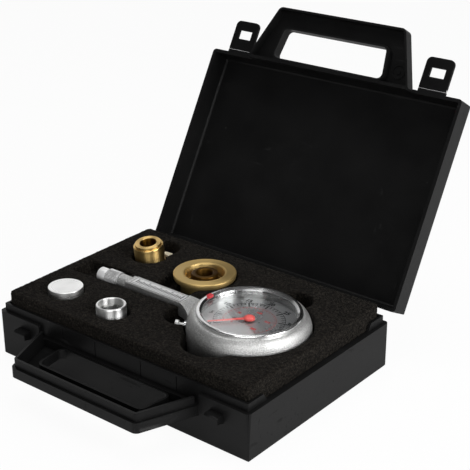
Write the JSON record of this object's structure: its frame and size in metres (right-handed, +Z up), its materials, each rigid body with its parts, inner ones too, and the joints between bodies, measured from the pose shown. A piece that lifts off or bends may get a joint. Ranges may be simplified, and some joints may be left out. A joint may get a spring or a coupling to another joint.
{
  "type": "pressure tester kit",
  "caption": "Pressure tester kit: dial gauge with connector arm and release button, turned adaptors in die-cut foam, in a hinged plastic case with latches and split handle.",
  "frame": {"origin": "middle of the case's underside", "axes": "+X to the right seen from the handle, +Y from the handle to the hinge, +Z up"},
  "size_m": [0.231, 0.3072, 0.2193],
  "materials": {
    "case_plastic": "satin black",
    "foam": "open-cell foam",
    "cast": "cast, satin",
    "label": "printed, satin",
    "polished": "polished",
    "plug_metal": "turned, bright",
    "dial": "silver, printed",
    "red": "gloss red",
    "seal_paint": "red sealing paint",
    "lens": "clear",
    "rubber": "black",
    "brass": "turned",
    "steel": "turned",
    "fibre": "cream fibre"
  },
  "bodies": {
    "base": {"base_shell": "case_plastic", "hinge_pins": "steel", "foam_pad": "foam"},
    "lid": {"lid_shell": "case_plastic"},
    "left_latch": {"latch_left": "case_plastic"},
    "right_latch": {"latch_right": "case_plastic"},
    "foam": {"foam_insert": "foam", "fibre_washer": "fibre"},
    "gauge": {"gauge_body": "cast", "socket_block": "brass", "socket_screws": "steel", "bourdon_tube": "brass", "bourdon_tip": "brass", "movement_plate_lower": "brass", "movement_plate_upper": "brass", "movement_pillars": "brass", "movement_screws": "steel", "hairspring": "steel", "dial_plate": "dial", "reflector_ring": "polished", "lens_gasket": "rubber", "lens": "lens", "bezel_ring": "polished", "bezel_seal": "seal_paint", "label_plate": "label", "release_bush": "steel", "release_spring": "steel", "connector_tip": "polished"},
    "needle": {"pointer": "red", "pinion_arbor": "steel"},
    "sector": {"sector_gear": "brass", "sector_arbor": "steel"},
    "link": {"connecting_link": "brass"},
    "button": {"release_button": "steel"},
    "nut": {"union_nut": "steel"},
    "flange": {"flange_adaptor": "brass"},
    "plug": {"plug_cap": "plug_metal"},
    "bush": {"ring_bush": "polished"},
    "fitting": {"brass_fitting": "brass"}
  },
  "joints": [
    {"name": "lid_hinge", "type": "hinge", "parent": "base", "child": "lid", "pos_m": [0, 0.0843, 0.0364], "axis": [-1, 0, 0], "range_deg": [-119.5, 0]},
    {"name": "latch_left_fold", "type": "hinge", "parent": "lid", "child": "left_latch", "pos_m": [-0.08925, 0.16781, 0.18177], "axis": [-1, 0, 0], "range_deg": [-90, 45], "stiffness_Nm_per_rad": 0.002},
    {"name": "latch_right_fold", "type": "hinge", "parent": "lid", "child": "right_latch", "pos_m": [0.08925, 0.16781, 0.18177], "axis": [-1, 0, 0], "range_deg": [-90, 45], "stiffness_Nm_per_rad": 0.002},
    {"name": "foam_press", "type": "slide", "parent": "base", "child": "foam", "axis": [0, 0, 1], "range_m": [-0.0106, 0], "stiffness_N_per_m": 1000, "springref_m": 0.015, "deforming": ["foam_pad"]},
    {"name": "gauge_lift", "type": "slide", "parent": "foam", "child": "gauge", "axis": [0, 0, 1], "range_m": [0, 0.09]},
    {"name": "sector_swing", "type": "hinge", "parent": "gauge", "child": "sector", "pos_m": [0.03316, -0.00712, 0.04531], "axis": [0.0331, 0.0012, 0.9995], "range_deg": [0, 54], "stiffness_Nm_per_rad": 0.0005},
    {"name": "pointer_turn", "type": "hinge", "parent": "gauge", "child": "needle", "pos_m": [0.05743, -0.00627, 0.0535], "axis": [-0.0331, -0.0012, -0.9995], "range_deg": [0, 270.2]},
    {"name": "link_slide", "type": "slide", "parent": "gauge", "child": "link", "axis": [0.2685, 0.9632, -0.01], "range_m": [0, 0.00365]},
    {"name": "button_press", "type": "slide", "parent": "gauge", "child": "button", "axis": [0.8741, 0.4848, -0.0295], "range_m": [0, 0.003], "stiffness_N_per_m": 300, "springref_m": -0.001, "deforming": ["release_spring"]},
    {"name": "nut_turn", "type": "hinge", "parent": "gauge", "child": "nut", "pos_m": [-0.06541, -0.01056, 0.04978], "axis": [-0.9988, -0.0349, 0.0332], "continuous": true},
    {"name": "flange_lift", "type": "slide", "parent": "foam", "child": "flange", "axis": [0, 0, 1], "range_m": [0, 0.07]},
    {"name": "plug_lift", "type": "slide", "parent": "foam", "child": "plug", "axis": [0, 0, 1], "range_m": [0, 0.07]},
    {"name": "bush_lift", "type": "slide", "parent": "foam", "child": "bush", "axis": [0, 0, 1], "range_m": [0, 0.07]},
    {"name": "fitting_lift", "type": "slide", "parent": "foam", "child": "fitting", "axis": [0, 0, 1], "range_m": [0, 0.07]}
  ],
  "couplings": [
    {"joint": "foam_press", "follows": "lid_hinge", "m_per_rad": 0.0050344},
    {"joint": "pointer_turn", "follows": "sector_swing", "ratio": 5},
    {"joint": "link_slide", "follows": "sector_swing", "m_per_rad": 0.0038536}
  ]
}
